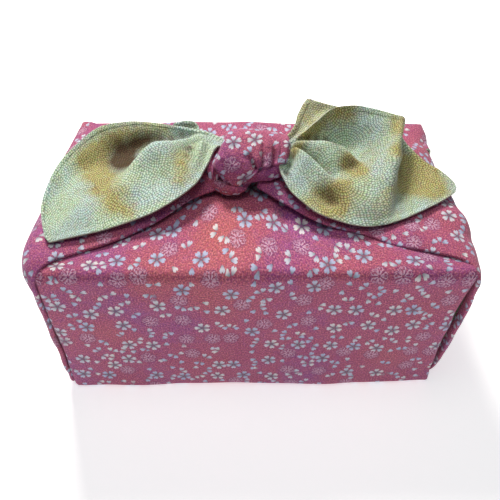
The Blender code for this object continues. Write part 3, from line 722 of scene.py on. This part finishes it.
# near x, y, z, far x, y, z, then the drops near, middle, far and in the band by the far hem, in mm
leftEar = {
    "rows": [
        (-12, 6, 125.5, -12, 18, 127.5, 0, 0, 0, 0),
        (-20, 11, 132, -26.6, 23.8, 133, 0, 0, 0, 0),
        (-23.4, 8.2, 133, -43.9, 29, 134, 3, 2, 2, 0),
        (-29, -4.5, 129, -58.7, 35.4, 132.5, 4, 2, 4, 1),
        (-36, -17, 126, -78.8, 38.2, 132, 2, 3, 9, 2),
        (-57.4, -33.4, 121.5, -96, 33.2, 131, 1, 4, 9, 3),
        (-78.9, -42.8, 119, -106.9, 19.2, 129.5, 0, 3, 6, 2),
        (-92, -47.4, 118.5, -116.3, -1.1, 126.5, 0, 2, 3, 1),
        (-101, -50.2, 118.3, -119.3, -25.3, 122.5, 0, 1, 1, 0),
        (-106.5, -52, 118.2, -116.8, -39.5, 120, 0, 0, 0, 0),
        (-110.5, -53, 118.2, -113, -50, 118.4, 0, 0, 0, 0),
    ],
    "size": (170, 96), "hills": ((16, 0.14), (7, 0.05)), "seed": 41, "uv": (0.21, 0.55),
    "folds": [
        [(-104, -6, 126, 7, 1.2), (-100.3, -23.1, 123, 8, 1.4), (-90.4, -35.4, 122.6, 7, 0.8)],
    ],
    "crests": [
        # the slot under the rolled far hem, which opens into the hollow
        [(-36.2, 20.6, 131.5, 2, 2), (-43.4, 19.9, 127, 2.5, 2.5), (-50.5, 19.5, 124.5, 3, 3),
         (-56.6, 19.5, 123.5, 3, 3.5), (-62.6, 18.3, 122.5, 4, 4), (-67.5, 15.6, 121, 5, 5),
         (-72.3, 10.3, 120, 7, 6), (-77.2, 5.6, 119.8, 8, 7)],
        # the crown of the ear, whose steep back edge is the lip over the slot
        [(-31.3, 22.8, 133.5, 2, 5), (-36.2, 19.7, 134, 2.6, 8), (-42.6, 16.7, 134.5, 3, 13),
         (-49.4, 13.9, 134.8, 3.2, 17), (-55.4, 13.9, 134.8, 3.4, 18), (-60.1, 14.1, 134.4, 3.4, 18),
         (-63.5, 12, 133.4, 3.6, 17), (-67, 8.8, 131.6, 4, 15), (-70, 2.9, 129.4, 4.6, 13),
         (-72.3, -4.8, 127.5, 6, 11), (-73.5, -14.3, 126, 7, 9)],
        # the small valley from the throat, then the ridge between it and the near hem
        [(-37.5, 11, 133, 2.4, 2.4), (-39.5, 6, 131.5, 3, 3), (-41.5, 0, 130.3, 3.5, 3.5),
         (-42.5, -6, 129, 4, 4), (-44, -13, 127.3, 4, 4)],
        [(-31.5, 13, 136, 2.5, 2.5), (-33.5, 6, 133.8, 3, 3), (-35, -1, 131.2, 3.5, 3.5),
         (-36, -8, 128.6, 3, 3)],
    ],
    "warm": [(-101.3, 10.2, 124, 7, 1), (-96.3, -0.9, 121.6, 7, 1), (-89.2, -15.3, 122.4, 7, 1),
             (-80.7, -27.1, 122.3, 7, 0.9), (-71.3, -32.1, 121.6, 6, 0.8), (-93.6, 10.1, 120.4, 8, 1),
             (-86.4, -4.1, 122, 8, 1), (-97.1, 18.6, 125.2, 7, 0.9), (-89.1, 25.8, 125.9, 8, 0.8),
             (-80.2, 31.3, 128.6, 8, 0.7), (-67.9, 32.7, 130, 7, 0.6), (-55.3, 30.6, 130.7, 6, 0.6),
             (-43.2, 5.4, 131.5, 6, 0.6), (-42.8, -4.4, 129.6, 7, 0.6), (-42.9, -12.7, 127.6, 6, 0.5),
             (-78.2, -18.1, 124.8, 6, 0.6)],
    # deep: brown in the slot under the far hem and in the hollow, painted shade as well as the dye's
    # brown
    "deep": [(-78, 13.9, 120.1, 8, 1), (-84, 14, 120.3, 7, 0.8), (-82, 22.5, 120.8, 7, 0.7),
             (-76.1, 25.7, 122.2, 6.5, 0.6), (-87.3, 27.6, 126.8, 6, 0.35),
             (-71.2, 28.6, 124.6, 5, 0.75), (-64.9, 28.8, 125.6, 4.5, 0.75),
             (-57.9, 27.5, 126.6, 4, 0.75), (-50.8, 25.6, 128.4, 3.4, 0.7),
             (-44.5, 24.7, 130.8, 2.8, 0.65), (-39.5, 24.3, 132.6, 2.2, 0.5),
             (-80.4, 2.3, 121.3, 5, 0.4), (-39.6, 10.3, 132.9, 2.6, 0.85),
             (-40.9, 4.6, 131.3, 2, 0.5)],
}
rightEar = {
    "rows": [
        (2, 5, 124, 2, 14, 125, 0, 0, 0, 0),
        (14.5, 4, 131.5, 22.8, 14.5, 136.5, 1, 1, 1, 0),
        (13.2, -4.8, 130, 34.1, 21.4, 143, 2, 3, 5, 2),
        (17.8, -17.9, 126, 46, 33.2, 145, 1, 4, 9, 4),
        (25.3, -26.4, 123, 60, 37.2, 145, 1, 6, 14, 5),
        (36.3, -35.7, 121, 72.7, 35, 144, 0, 7, 12, 4),
        (56.2, -42, 119, 84.2, 30.1, 143, 0, 0, 3, 1),
        (70, -39.9, 118, 90.6, 28.8, 141, -3, -5, -4, -2),
        (77, -37.5, 118, 91.5, 28.6, 128, 0, 1, 2, 1),
        (85, -33.8, 118.2, 103, 14.5, 121, 0, 1, 1, 0),
        (99, -26.2, 118.5, 112.5, 4, 120, 0, 0, 0, 0),
        (112, -17.5, 118.8, 117.5, -5, 119.2, 0, 0, 0, 0),
        (117.2, -13, 119, 118.2, -10, 119, 0, 0, 0, 0),
    ],
    "size": (180, 96), "hills": ((16, 0.14), (7, 0.05)), "seed": 51, "uv": (0.62, 0.81),
    "folds": [
        # the upright ridge before the tail
        [(92, 24, 128, 2.5, 1.2), (84.8, 5.8, 131.5, 3, 1.5), (78.4, -9.3, 134.9, 4, 1.2),
         (75.3, -15.7, 131.8, 5, 1)],
        [(21.8, 5.9, 134.7, 1.6, -2.5), (22.1, 1.7, 133.5, 1.9, -3.4), (19.5, -3.6, 131.4, 1.9, -3.2),
         (17.2, -7.9, 129.6, 1.8, -1.8)],
    ],
    "crests": [
        # the slot behind the first tongue, then the tongue itself
        [(24.2, 13.9, 135, 2, 2), (28.8, 13.6, 132.5, 2.5, 3), (34, 14.2, 130.5, 3, 3.5),
         (40.6, 15.4, 128, 3.5, 4), (47.7, 15.8, 126, 4, 5), (53.6, 14.1, 124.5, 4, 5),
         (58.5, 9.9, 123, 4, 5), (61.4, 5.3, 123.5, 4, 4)],
        [(24.3, 10.7, 136.9, 3, 1.8), (28.9, 10.5, 137.9, 7, 2.4), (34.2, 10.8, 137.8, 11, 2.6),
         (41.5, 11.1, 137, 15, 2.8), (48.2, 11.3, 135.6, 15, 3), (52.9, 9.3, 133.5, 13, 3.2),
         (57.1, 7.2, 130.8, 10, 3), (60.3, 3.4, 129, 7, 3), (61.9, 0.8, 128.1, 5, 3)],
        # the slot between the tongues, then the second tongue
        [(24.7, 7.4, 133, 1.4, 1.4), (28.8, 4.6, 130.6, 2.2, 2.4), (33.3, 1.2, 128.8, 2.6, 3),
         (37.4, -2.9, 127.2, 2.8, 3.4), (41.4, -7.1, 126.2, 3, 3.6), (45.3, -11.8, 126.4, 3, 3.6)],
        [(23.4, 6, 136.4, 2.5, 1.2), (26.8, 3.7, 136.4, 5, 1.3), (31.1, -0.6, 135.6, 9, 1.4),
         (35, -4.6, 133.8, 10, 1.6), (38.2, -8.5, 131.6, 9, 1.8), (42.5, -12.7, 129.4, 7, 2.4),
         (46.5, -17.1, 128.8, 5, 3)],
        # the round hollow by the near hem
        [(38.5, -22.5, 121, 4.5, 4.5), (41.5, -26, 120.2, 4.5, 4.5)],
    ],
    "warm": [(89.8, 4.6, 121.1, 13, 1), (96, 1.2, 120, 13, 1), (100.4, -6.9, 119, 11, 0.9),
             (105.5, -12.3, 119.7, 8, 0.5), (86, -9, 121, 9, 0.7), (103, 8, 121, 9, 0.8),
             (30, 16, 138, 6, 0.9), (37, 21, 140, 8, 0.9), (47, 30, 143, 8, 0.8),
             (88, 27, 138, 8, 0.9), (58, 35, 144, 7, 0.5), (82, 1.6, 138.1, 6, 0.8),
             (86.9, 17.1, 141.2, 6, 0.8), (78.4, -20, 126.3, 7, 0.6), (71.2, -30.1, 124, 7, 0.5),
             (56.4, 0.8, 129.3, 6, 0.9), (60.2, -6.5, 128.4, 6, 0.8), (50.1, -17.3, 127.7, 7, 0.8),
             (46.3, -29.2, 123.3, 8, 0.7), (40.4, -32.2, 122.2, 8, 0.7), (29.8, -25.6, 123.8, 6, 0.4),
             (22.2, 5.3, 135.2, 4, 0.9), (55.1, 33.3, 141.5, 6, 0.4), (25.8, 8.1, 136.7, 3, 0.6),
             (41, -22, 123, 9, 1), (57, 1, 128, 8, 0.8)],
    # deep: brown in the round hollow, the slots by the tongues, the bowl and by the near hem, painted
    # shade as well as the dye's brown
    "deep": [(40.9, -22.2, 123.4, 5.5, 0.75), (44.4, -26.9, 122.7, 4, 0.4),
             (56.4, 0.8, 129.3, 4.5, 0.75), (52.5, -3.6, 127.6, 3, 0.3), (26.3, 14, 137.2, 2, 0.6),
             (31.4, 16.5, 135.8, 2.4, 0.8), (36.8, 19.7, 132.8, 2.6, 0.8),
             (43.5, 22.1, 129.9, 2.8, 0.7), (47.3, 10.1, 136.1, 3, 0.5), (26, 6.6, 133.5, 2.2, 0.8),
             (29.4, 4, 131.5, 2.6, 0.9), (33.2, 1, 130, 2.8, 0.9), (37.4, -3.2, 128.6, 2.8, 0.8),
             (41.4, -7.6, 127.5, 2.8, 0.6), (17.6, -8.6, 128.7, 2.4, 1),
             (19.7, -2.1, 130.1, 2.2, 0.9), (21.6, 2.3, 132.5, 2, 0.8), (69, 13, 129.5, 11, 0.3),
             (62, -35, 121.6, 8, 0.4)],
}
rightPeak = {
    "rows": [
        (9, 10, 123.5, 8, 15, 123, 0, 0, 0, 0),
        (28.8, 21.6, 131.5, 22.4, 26.7, 134, 0, 1, 1, 0),
        (40.4, 31.8, 134, 26.5, 37.7, 137, 1, 2, 1, 0),
        (50.2, 41.4, 136, 30.6, 47.2, 139, 1, 2, 1, 0),
        (56, 45, 138, 33.8, 52.2, 140, 0, 0, 0, 0),
    ],
    "size": (60, 36), "hills": ((10, 0.10),), "seed": 61, "uv": (0.11, 0.92),
    "folds": [], "crests": [], "warm": [(34, 42, 138, 30, 0.6)], "deep": [],
}

# the turned-back layer that shows as a small arch behind the left ear's far hem
leftFold = {
    "rows": [
        (-34, 24, 131.8, -34.6, 31, 132.6, 0, 0, 0, 0),
        (-36, 25.5, 131.4, -36.2, 34, 133.4, 0, 0, -1, 0),
        (-38.8, 26.8, 131.2, -38.6, 34, 135.2, 0, 0, -1, 0),
        (-42.6, 28, 131, -42.3, 34, 135.7, 0, 0, -1, 0),
        (-46.2, 29.5, 130.8, -46, 34, 134.8, 0, 0, -1, 0),
        (-49.4, 31, 130.4, -49.2, 34, 133.3, 0, 0, -1, 0),
        (-51.5, 32, 130, -50.8, 34, 130.8, 0, 0, 0, 0),
    ],
    "size": (40, 30), "hills": ((10, 0.05),), "seed": 66, "uv": (0.51, 0.37),
    # its deep zone is painted shade under the ear's far hem
    "folds": [], "crests": [], "warm": [], "deep": [(-42, 29, 132, 4, 0.4)],
}


def makeEar(name, ear):
    rows = readRows(np.array(ear["rows"]) / 1000, np.linspace(0, 1, ear["size"][0]))
    places = np.linspace(0, 1, ear["size"][1])
    grid = []
    for row in rows:
        drops = (0, *row[6:], 0)
        controls = [row[:3] + share * (row[3:6] - row[:3]) - (0, 0, drop)
                    for share, drop in zip(ears["across"], drops)]
        grid.append(readRows(controls, places))
    grid = np.array(grid)
    if gridNormals(grid)[len(grid) // 2, grid.shape[1] // 2, 2] < 0:
        grid = grid[:, ::-1]
    grid = addCrests(addFolds(grid, ear["folds"]), ear["crests"])
    grid = roughen(grid, ear["hills"], ear["seed"])
    u, v = arcLengths(grid)
    toEdge = np.minimum(u - u.min(axis=1, keepdims=True), u.max(axis=1, keepdims=True) - u)
    hem = np.clip((ears["hemWidth"] - toEdge) / ears["hemStep"], 0, 1) * ears["hemLift"]
    grid = grid + gridNormals(grid) * hem[..., None]
    piece = layCloth(name, grid, u, v, ear)
    thicken(piece, ears["thickness"], 0, (mint, rose, hemEdge), ears["rounding"])
    return piece


dress(makeEar("leftEar", leftEar))
dress(makeEar("rightEar", rightEar))
dress(makeEar("rightPeak", rightPeak))
dress(makeEar("leftFold", leftFold))


# the knot

# the wide strap over the knot, one gathered sheet. Each column from its left edge to its right one has
# x at the back, the top, the face and the foot, its two radii and its last angle, in mm and degrees
knotStrap = {
    "centre": (9.5, 122.5), "places": (0, 0.5, 0.78, 1), "first": -22.0, "size": (130, 150),
    "columns": [
        (-11, -18.9, -25.2, -17.5, 20, 19, 196), (-8, -14.5, -20.5, -15, 21, 20, 197),
        (-1, -6.5, -11.2, -12, 21.2, 20.2, 198), (6, 1.5, -1.5, -8, 20.8, 19.7, 196),
        (11, 7.5, 5.5, 1.5, 19.9, 18.7, 192), (15, 13, 11.5, 8, 19.1, 17.8, 190),
        (19, 17.5, 15.5, 13, 17.9, 16.5, 188), (23, 21, 18.3, 16.3, 16.6, 15.2, 187),
    ],
    # creases: paths of place across, place along, width and depth, on a strap of this flat size, in mm
    "flat": (44, 76),
    "creases": [
        [(0.36, 0.67, 0.6, 0), (0.376, 0.698, 0.9, 2.6), (0.409, 0.744, 1, 3.8),
         (0.470, 0.806, 1.1, 4.2)],
        [(0.49, 0.58, 0.8, 0), (0.51, 0.682, 1, 2.6), (0.53, 0.76, 1.1, 4), (0.517, 0.829, 1.1, 4.2)],
        [(0.60, 0.54, 0.8, 0), (0.664, 0.659, 1, 2.8), (0.678, 0.729, 1.1, 4),
         (0.664, 0.79, 1.1, 4.2)],
        [(0.76, 0.56, 0.8, 0.3), (0.779, 0.674, 0.8, 0.8), (0.745, 0.729, 0.8, 0.4),
         (0.738, 0.79, 0.8, 0.3)],
    ],
    # where the strap turns under: place across, place along
    "under": [(0, 0.80), (0.13, 0.83), (0.168, 0.90), (0.242, 0.94), (0.336, 0.935), (0.376, 0.907),
              (0.423, 0.884), (0.477, 0.853), (0.53, 0.80), (0.61, 0.795), (0.745, 0.785), (1, 0.77)],
    "underDepth": 2.6, "underWidth": 0.022,
    "edge": 0.09, "foot": 0.07, "tuck": 0.34, "thickness": 0.0010,
    "hills": ((13, 0.28), (5, 0.10)), "seed": 71, "uv": (0.30, 0.12),
    "warm": [(-12, -10, 122, 9, 1), (-4, -9, 128, 6, 0.5), (8, -4, 134, 8, 0.3),
             (-4, 4, 142, 12, 0.25)],
    # deep: painted shade at the strap's lower right, where its folds are
    "deep": [(-10, -7, 133, 8, 0.15), (10, -6, 128, 8, 0.5)],
}


def makeStrap():
    d = knotStrap
    along = np.linspace(0, 1, d["size"][0])
    across = np.linspace(0, 1, d["size"][1])
    columns = readRows(d["columns"], across)
    grid = np.empty((len(along), len(across), 3))
    for number, column in enumerate(columns):
        reach = np.interp(np.linspace(0, 1, 9), d["places"], column[:4])
        x = readRows(reach[:, None], along)[:, 0]
        angle = np.radians(d["first"] + along * (column[6] - d["first"]))
        side = across[number]
        rim = min(side, 1 - side) / d["edge"]
        edge = 1 - math.sqrt(1 - (1 - rim) ** 2) if rim < 1 else 0.0
        foot = np.clip((along - 1 + d["foot"]) / d["foot"], 0, 1)
        shrink = 1 - d["tuck"] * (edge + (1 - np.sqrt(1 - foot**2)) * (1 - edge))
        turn = np.interp(side, *np.array(d["under"]).T)
        fall = d["underDepth"] * np.clip((along - turn) / d["underWidth"] + 0.5, 0, 1)
        wide, long = d["flat"]
        onStrap = np.stack([np.full_like(along, side * wide), along * long, 0 * along], axis=1)
        for crease in d["creases"]:
            path = [(a * wide, b * long, 0, width, depth) for a, b, width, depth in crease]
            away, width, depth = pathDistance(onStrap, path)
            fall += depth * np.exp(-(away / width) ** 1.2)
        grid[:, number, 0] = x
        grid[:, number, 1] = d["centre"][0] + (column[4] * shrink - fall) * np.cos(angle)
        grid[:, number, 2] = d["centre"][1] + (column[5] * shrink - fall) * np.sin(angle)
    grid /= 1000
    if gridNormals(grid)[len(grid) // 2, grid.shape[1] // 2, 2] < 0:
        grid = grid[:, ::-1]
    u, v = arcLengths(grid)
    grid = roughen(grid, d["hills"], d["seed"])
    piece = layCloth("knotStrap", grid, u, v, d)
    thicken(piece, d["thickness"], -1, (rose, mint))
    return piece


dress(makeStrap())


# the tints of a closed bundle, the width its seam closes over and its greatest smooth angle; its deep
# tint is painted shade inside the knot
bundle = {
    "warm": [(-12, -4, 118, 14, 0.8)], "deep": [(-6, -4, 128, 12, 0.5)], "seam": 0.000002, "smooth": 60,
}


def closeLoft(name, rings, own):
    # a closed bundle of cloth through rings of points
    d = {**bundle, **own}
    grid = np.concatenate([rings, rings[:, :1]], axis=1)
    u, v = arcLengths(grid)
    normals = gridNormals(np.concatenate([grid[:, -2:-1], grid, grid[:, 1:2]], axis=1))[:, 1:-1]
    grid = roughen(grid, d["hills"], d["seed"], normals)
    grid[:, -1] = grid[:, 0]
    piece = layCloth(name, grid, u, v, d)
    bpy.ops.object.mode_set(mode="EDIT")
    bpy.ops.mesh.select_all(action="SELECT")
    bpy.ops.mesh.remove_doubles(threshold=d["seam"])
    bpy.ops.mesh.select_all(action="DESELECT")
    bpy.ops.mesh.select_non_manifold()
    bpy.ops.mesh.edge_face_add()
    bpy.ops.mesh.select_all(action="SELECT")
    bpy.ops.mesh.normals_make_consistent(inside=False)
    bpy.ops.object.mode_set(mode="OBJECT")
    piece.data.materials.append(rose)
    bpy.ops.object.shade_smooth_by_angle(angle=math.radians(d["smooth"]))
    return piece


# the gathered bundle to the left of the strap, from the back of the knot over to its front
knotLeft = {
    "centre": (-21.4, 9.5, 121.8), "lean": 3.0, "widths": (8, 9, 9, 7), "places": (0, 0.5, 0.78, 1),
    "thickness": 6.5, "reach": (12.2, 5.8), "angles": (-12, 191), "stations": 90, "ring": 80,
    "squareness": 0.8, "gathers": 3, "gather": 0.9, "slant": 0.3, "uv": (0.83, 0.62),
    "hills": ((9, 0.25), (4, 0.10)), "seed": 81,
}


def makeLeftBundle():
    d = knotLeft
    rings = []
    around = np.linspace(0, circle, d["ring"], endpoint=False)
    axes = np.cos(around), np.sin(around)
    side, rise = (np.sign(axis) * np.abs(axis) ** d["squareness"] for axis in axes)
    deep, high = d["reach"]
    for share in np.linspace(0, 1, d["stations"]):
        angle = math.radians(d["angles"][0] + share * (d["angles"][1] - d["angles"][0]))
        cosine, sine = math.cos(angle), math.sin(angle)
        centre = np.array(d["centre"]) + (d["lean"] * cosine, deep * cosine, high * sine)
        outward = unit(np.array((0, high * cosine, deep * sine)))
        width = np.interp(share, d["places"], d["widths"])
        phase = d["gathers"] * math.pi * (side + d["slant"] * share)
        ridge = d["gather"] * np.cos(phase) * np.maximum(rise, 0)
        rings.append(centre + side[:, None] * np.array((width / 2, 0, 0))
                     + (rise * d["thickness"] / 2 + ridge)[:, None] * outward)
    return closeLoft("knotLeft", np.array(rings) / 1000, d)


dress(makeLeftBundle())

knotLoop = {
    "path": [(-30, 8, 120), (-29.6, 1, 118.8), (-25.3, -3.6, 118.5), (-19.9, -7.7, 118.5),
             (-14, -10, 118.5), (-9.3, -7.7, 118.5), (-5.1, -1.7, 119)],
    "radius": 0.0037, "stations": 70, "ring": 40, "uv": (0.47, 0.17),
    "hills": ((8, 0.2), (4, 0.08)), "seed": 90,
}


def makeLoop():
    d = knotLoop
    centres = readRows(np.array(d["path"]) / 1000, np.linspace(0, 1, d["stations"]))
    steps = unit(np.gradient(centres, axis=0))
    sideways = unit(np.cross(steps, (0, 0, 1)))
    upwards = unit(np.cross(sideways, steps))
    around = np.linspace(0, circle, d["ring"], endpoint=False)[None, :, None]
    rings = centres[:, None] + d["radius"] * (
        sideways[:, None] * np.cos(around) + upwards[:, None] * np.sin(around))
    return closeLoft("knotLoop", rings, d)


dress(makeLoop())


# floor, light and camera

studio = {
    "floor": (0.90, 0.90, 0.90), "floorPale": (0.95, 0.95, 0.95), "floorPatch": 0.4, "floorSize": 6,
    "floorGlow": 0.57, "floorRoughness": 0.9, "world": 0.15, "sky": (0.78, 0.86, 1),
    "lampsAimAt": (0, 0, 0.06),
    # place, size, power and colour of each lamp
    "lamps": {
        "backKey": ((-0.24, 0.62, 0.95), 0.24, 12.2, (1, 0.96, 0.90)),
        "topBox": ((-0.10, -0.12, 1.10), 0.50, 2.6, (1, 0.98, 0.94)),
        "frontFill": ((0.05, -1.10, 0.18), 0.60, 0.05, (0.55, 0.72, 1)),
    },
}
view = {
    "eye": (-0.01236, -0.26228, 0.33377), "down": 46.623, "turn": 2.211, "roll": 1.420,
    "lens": 40.58, "sensor": 36, "nearest": 0.01,
}

bpy.ops.object.select_all(action="DESELECT")
bpy.ops.mesh.primitive_plane_add(size=studio["floorSize"], location=(0, 0, 0))
floor = bpy.context.object
floor.name = "floor"
floorFinish = Finish("paleFloor")
floorPatches = floorFinish.noise(floorFinish.node("ShaderNodeTexCoord", output=3), studio["floorPatch"])
floorFinish.connect(floorFinish.mix(floorPatches, studio["floor"], studio["floorPale"]), "Base Color")
floorFinish.fix({"Roughness": studio["floorRoughness"], "Emission Color": (1, 1, 1, 1),
                 "Emission Strength": studio["floorGlow"]})
floor.data.materials.append(floorFinish.material)


def addArea(name, place, size, power, colour):
    bpy.ops.object.light_add(type="AREA", location=place)
    lamp = bpy.context.object
    lamp.name = name
    lamp.data.size = size
    lamp.data.energy = power
    lamp.data.color = colour
    toward = Vector(studio["lampsAimAt"]) - Vector(place)
    lamp.rotation_euler = toward.to_track_quat("-Z", "Y").to_euler()


for lamp, (place, size, power, tint) in studio["lamps"].items():
    addArea(lamp, place, size, power, tint)
world = bpy.data.worlds.new("studio")
bpy.context.scene.world = world
world.use_nodes = True
backdrop = world.node_tree.nodes["Background"].inputs
backdrop[0].default_value = (*studio["sky"], 1)
backdrop[1].default_value = studio["world"]
bpy.context.scene.view_settings.view_transform = "Standard"

down, turn, roll = (math.radians(view[key]) for key in ("down", "turn", "roll"))
forward = np.array((math.sin(turn) * math.cos(down), math.cos(turn) * math.cos(down), -math.sin(down)))
level = unit(np.cross(forward, (0, 0, 1)))
rise = np.cross(level, forward)
right = math.cos(roll) * level + math.sin(roll) * rise
up = math.cos(roll) * rise - math.sin(roll) * level
bpy.ops.object.camera_add()
camera = bpy.context.object
camera.name = "camera"
camera.data.lens = view["lens"]
camera.data.sensor_width = view["sensor"]
camera.data.clip_start = view["nearest"]
camera.matrix_world = Matrix([(*axes, place) for *axes, place in zip(right, up, -forward, view["eye"])]
                             + [(0, 0, 0, 1)])
bpy.context.scene.camera = camera
print("studio ready")
